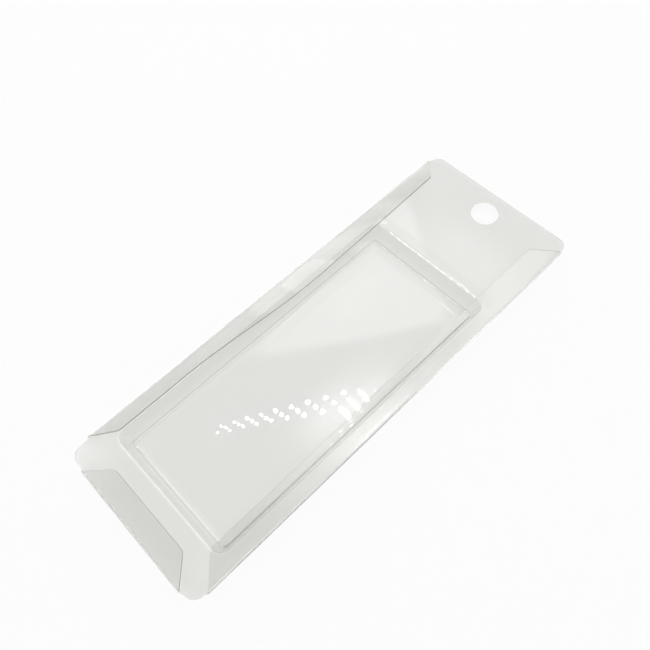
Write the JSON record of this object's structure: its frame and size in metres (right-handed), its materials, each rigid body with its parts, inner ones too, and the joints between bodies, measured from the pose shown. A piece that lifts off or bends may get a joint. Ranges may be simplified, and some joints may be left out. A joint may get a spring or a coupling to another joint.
{
  "type": "slide blister pack",
  "caption": "Clear folded film blister with a shallow formed bubble, edge flaps that hold a sliding backing card, and a flat header with a round hang hole.",
  "frame": {"origin": "middle of the part's outline, on the surface that the bubble's face lies on", "axes": "+Y along the pack towards the hang hole, +Z out of the open back, +X to the right when the header points away"},
  "size_m": [0.049, 0.1342, 0.0099],
  "materials": {
    "clear_film": "clear gloss film"
  },
  "bodies": {
    "root": {"folded_blister": "clear_film"}
  },
  "joints": []
}
